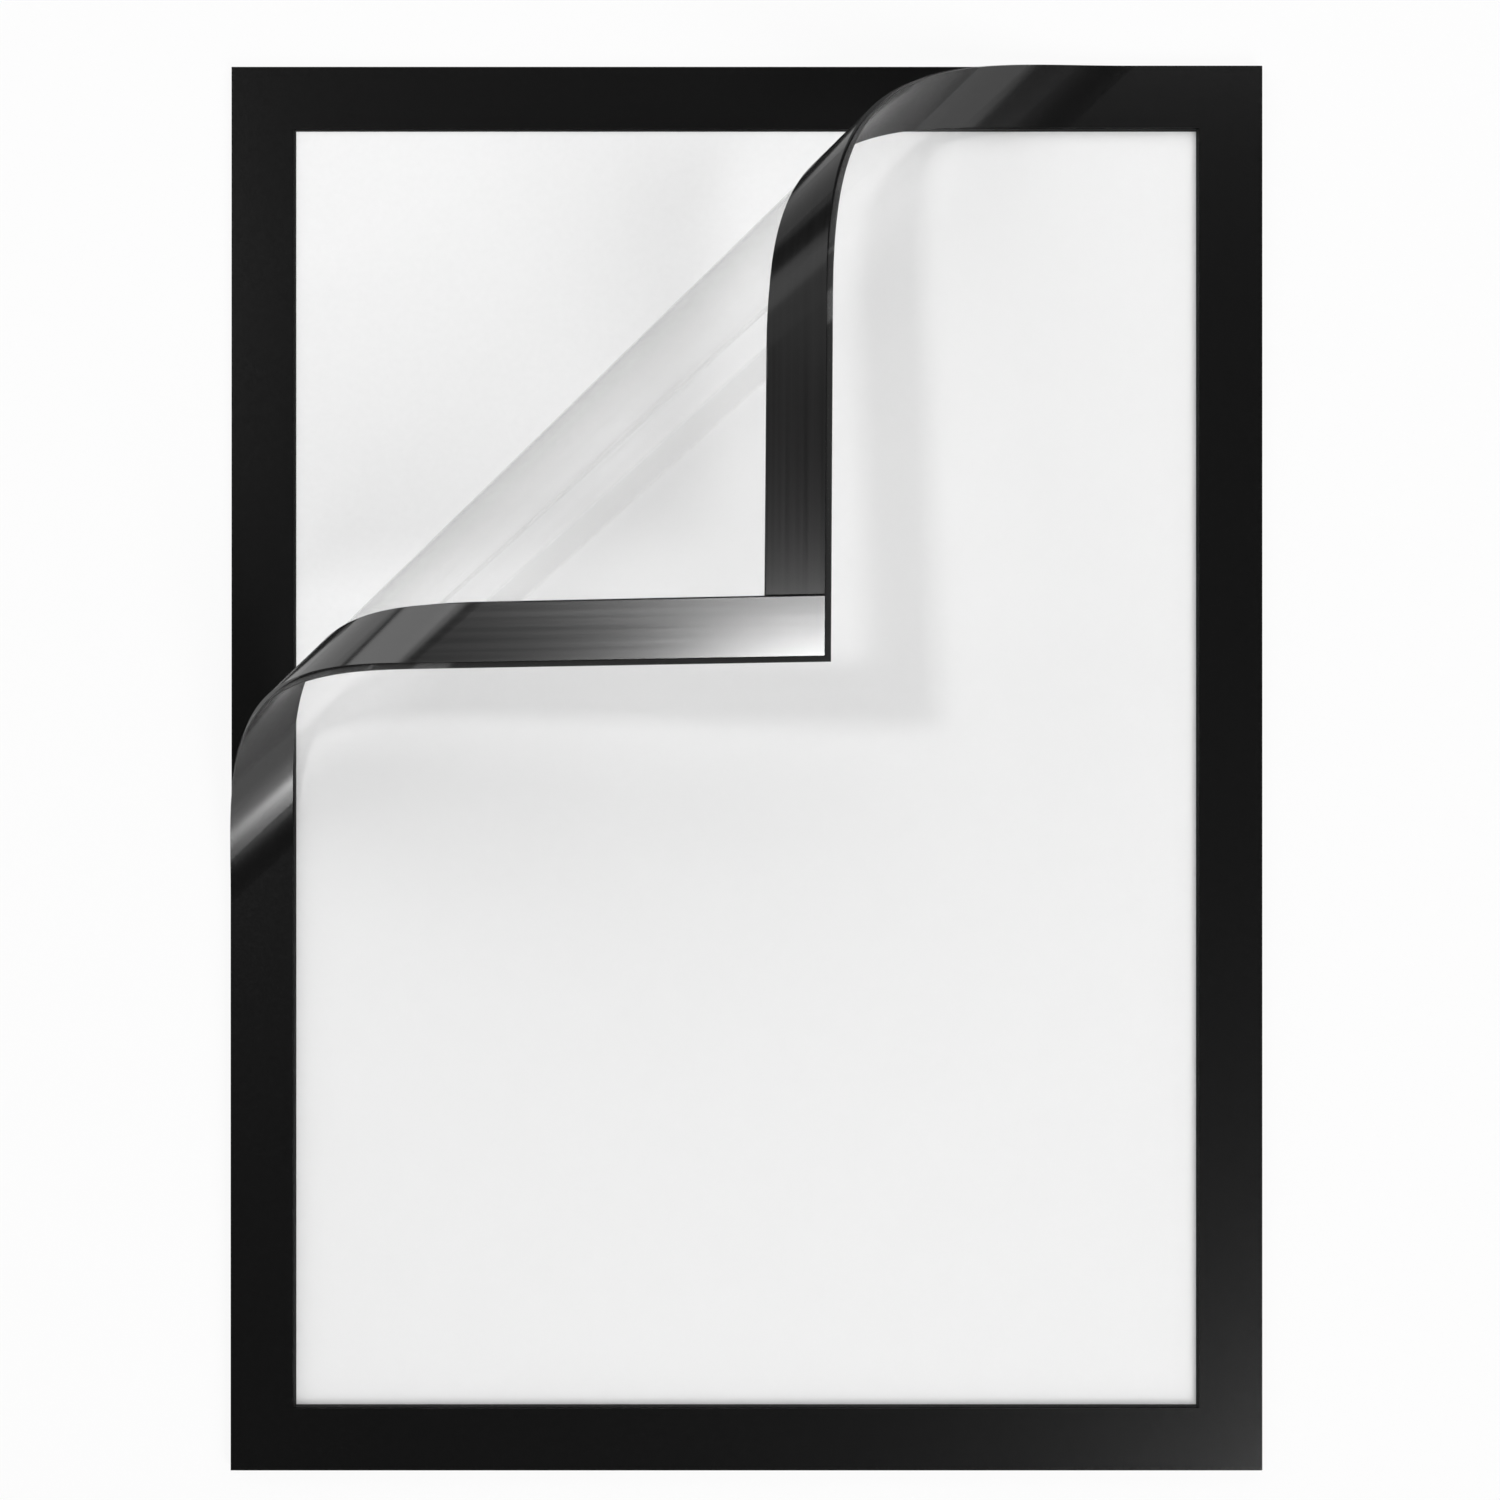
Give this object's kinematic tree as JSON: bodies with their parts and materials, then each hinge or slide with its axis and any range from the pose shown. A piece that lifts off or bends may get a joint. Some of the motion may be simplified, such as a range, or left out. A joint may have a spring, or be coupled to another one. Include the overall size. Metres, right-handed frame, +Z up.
{
  "type": "magnetic photo frame",
  "caption": "Flat wall frame with a magnetic border and a clear cover that peels up at one corner to change the sheet inside.",
  "frame": {"origin": "centre of the self-adhesive face that sticks to the wall", "axes": "+X to the viewer's right, +Z up, +Y into the wall, so the front faces -Y"},
  "size_m": [0.2403, 0.0721, 0.3271],
  "materials": {
    "adhesive": "pale self-adhesive sheet",
    "panel": "black plastic sheet",
    "back_magnet": "flexible magnet strip",
    "back_film": "black face film",
    "sheet": "blank white paper",
    "tape": "black tape",
    "cover_border": "black satin face film",
    "cover_film": "clear plastic film",
    "cover_magnet": "flexible magnet strip, satin"
  },
  "bodies": {
    "back": {"adhesive_sheet": "adhesive", "back_panel": "panel", "back_magnet_left": "back_magnet", "back_magnet_right": "back_magnet", "back_magnet_top": "back_magnet", "back_magnet_bottom": "back_magnet", "back_border": "back_film", "insert_sheet": "sheet", "hinge_tape": "tape"},
    "cover": {"cover_border": "cover_border", "cover_film": "cover_film", "cover_magnet_left": "cover_magnet", "cover_magnet_right": "cover_magnet", "cover_magnet_top": "cover_magnet", "cover_magnet_bottom": "cover_magnet"},
    "corner_1": {"corner_1_border": "cover_border", "corner_1_film": "cover_film", "corner_1_magnet_left": "cover_magnet", "corner_1_magnet_top": "cover_magnet"},
    "corner_2": {"corner_2_border": "cover_border", "corner_2_film": "cover_film", "corner_2_magnet_left": "cover_magnet", "corner_2_magnet_top": "cover_magnet"},
    "corner_3": {"corner_3_border": "cover_border", "corner_3_film": "cover_film", "corner_3_magnet_left": "cover_magnet", "corner_3_magnet_top": "cover_magnet"},
    "corner_4": {"corner_4_border": "cover_border", "corner_4_film": "cover_film", "corner_4_magnet_left": "cover_magnet", "corner_4_magnet_top": "cover_magnet"},
    "corner_5": {"corner_5_border": "cover_border", "corner_5_film": "cover_film", "corner_5_magnet_left": "cover_magnet", "corner_5_magnet_top": "cover_magnet"},
    "corner_6": {"corner_6_border": "cover_border", "corner_6_film": "cover_film", "corner_6_magnet_left": "cover_magnet", "corner_6_magnet_top": "cover_magnet"},
    "corner_7": {"corner_7_border": "cover_border", "corner_7_film": "cover_film", "corner_7_magnet_left": "cover_magnet", "corner_7_magnet_top": "cover_magnet"},
    "corner_8": {"corner_8_border": "cover_border", "corner_8_film": "cover_film", "corner_8_magnet_left": "cover_magnet", "corner_8_magnet_top": "cover_magnet"},
    "corner_9": {"corner_9_border": "cover_border", "corner_9_film": "cover_film", "corner_9_magnet_left": "cover_magnet", "corner_9_magnet_top": "cover_magnet"},
    "corner_10": {"corner_10_border": "cover_border", "corner_10_film": "cover_film", "corner_10_magnet_left": "cover_magnet", "corner_10_magnet_top": "cover_magnet"}
  },
  "joints": [
    {"name": "cover_open", "type": "hinge", "parent": "back", "child": "cover", "pos_m": [0.12, -0.00185, 0], "axis": [0, 0, 1], "range_deg": [0, 135], "deforming": ["hinge_tape"]},
    {"name": "corner_bend_1", "type": "hinge", "parent": "cover", "child": "corner_1", "pos_m": [-0.018, -0.0032, 0.0685], "axis": [0.7318, 0, 0.6816], "range_deg": [-16.8, 0]},
    {"name": "corner_bend_2", "type": "hinge", "parent": "corner_1", "child": "corner_2", "pos_m": [-0.02432, -0.00557, 0.07335], "axis": [0.7281, -0.0016, 0.6854], "range_deg": [-16.8, 0]},
    {"name": "corner_bend_3", "type": "hinge", "parent": "corner_2", "child": "corner_3", "pos_m": [-0.02994, -0.01012, 0.07746], "axis": [0.7245, -0.0051, 0.6892], "range_deg": [-16.8, 0]},
    {"name": "corner_bend_4", "type": "hinge", "parent": "corner_3", "child": "corner_4", "pos_m": [-0.03445, -0.01645, 0.0804], "axis": [0.7213, -0.0106, 0.6925], "range_deg": [-16.8, 0]},
    {"name": "corner_bend_5", "type": "hinge", "parent": "corner_4", "child": "corner_5", "pos_m": [-0.03756, -0.02402, 0.08184], "axis": [0.719, -0.0183, 0.6948], "range_deg": [-16.8, 0]},
    {"name": "corner_bend_6", "type": "hinge", "parent": "corner_5", "child": "corner_6", "pos_m": [-0.03905, -0.0322, 0.0816], "axis": [0.7181, -0.028, 0.6953], "range_deg": [-16.8, 0]},
    {"name": "corner_bend_7", "type": "hinge", "parent": "corner_6", "child": "corner_7", "pos_m": [-0.03886, -0.04027, 0.07964], "axis": [0.7194, -0.0393, 0.6935], "range_deg": [-16.8, 0]},
    {"name": "corner_bend_8", "type": "hinge", "parent": "corner_7", "child": "corner_8", "pos_m": [-0.03706, -0.04755, 0.07605], "axis": [0.7234, -0.0516, 0.6885], "range_deg": [-16.8, 0]},
    {"name": "corner_bend_9", "type": "hinge", "parent": "corner_8", "child": "corner_9", "pos_m": [-0.03387, -0.05341, 0.07109], "axis": [0.731, -0.0636, 0.6794], "range_deg": [-16.8, 0]},
    {"name": "corner_bend_10", "type": "hinge", "parent": "corner_9", "child": "corner_10", "pos_m": [-0.02959, -0.05735, 0.06515], "axis": [0.743, -0.0738, 0.6652], "range_deg": [-16.8, 0]}
  ]
}
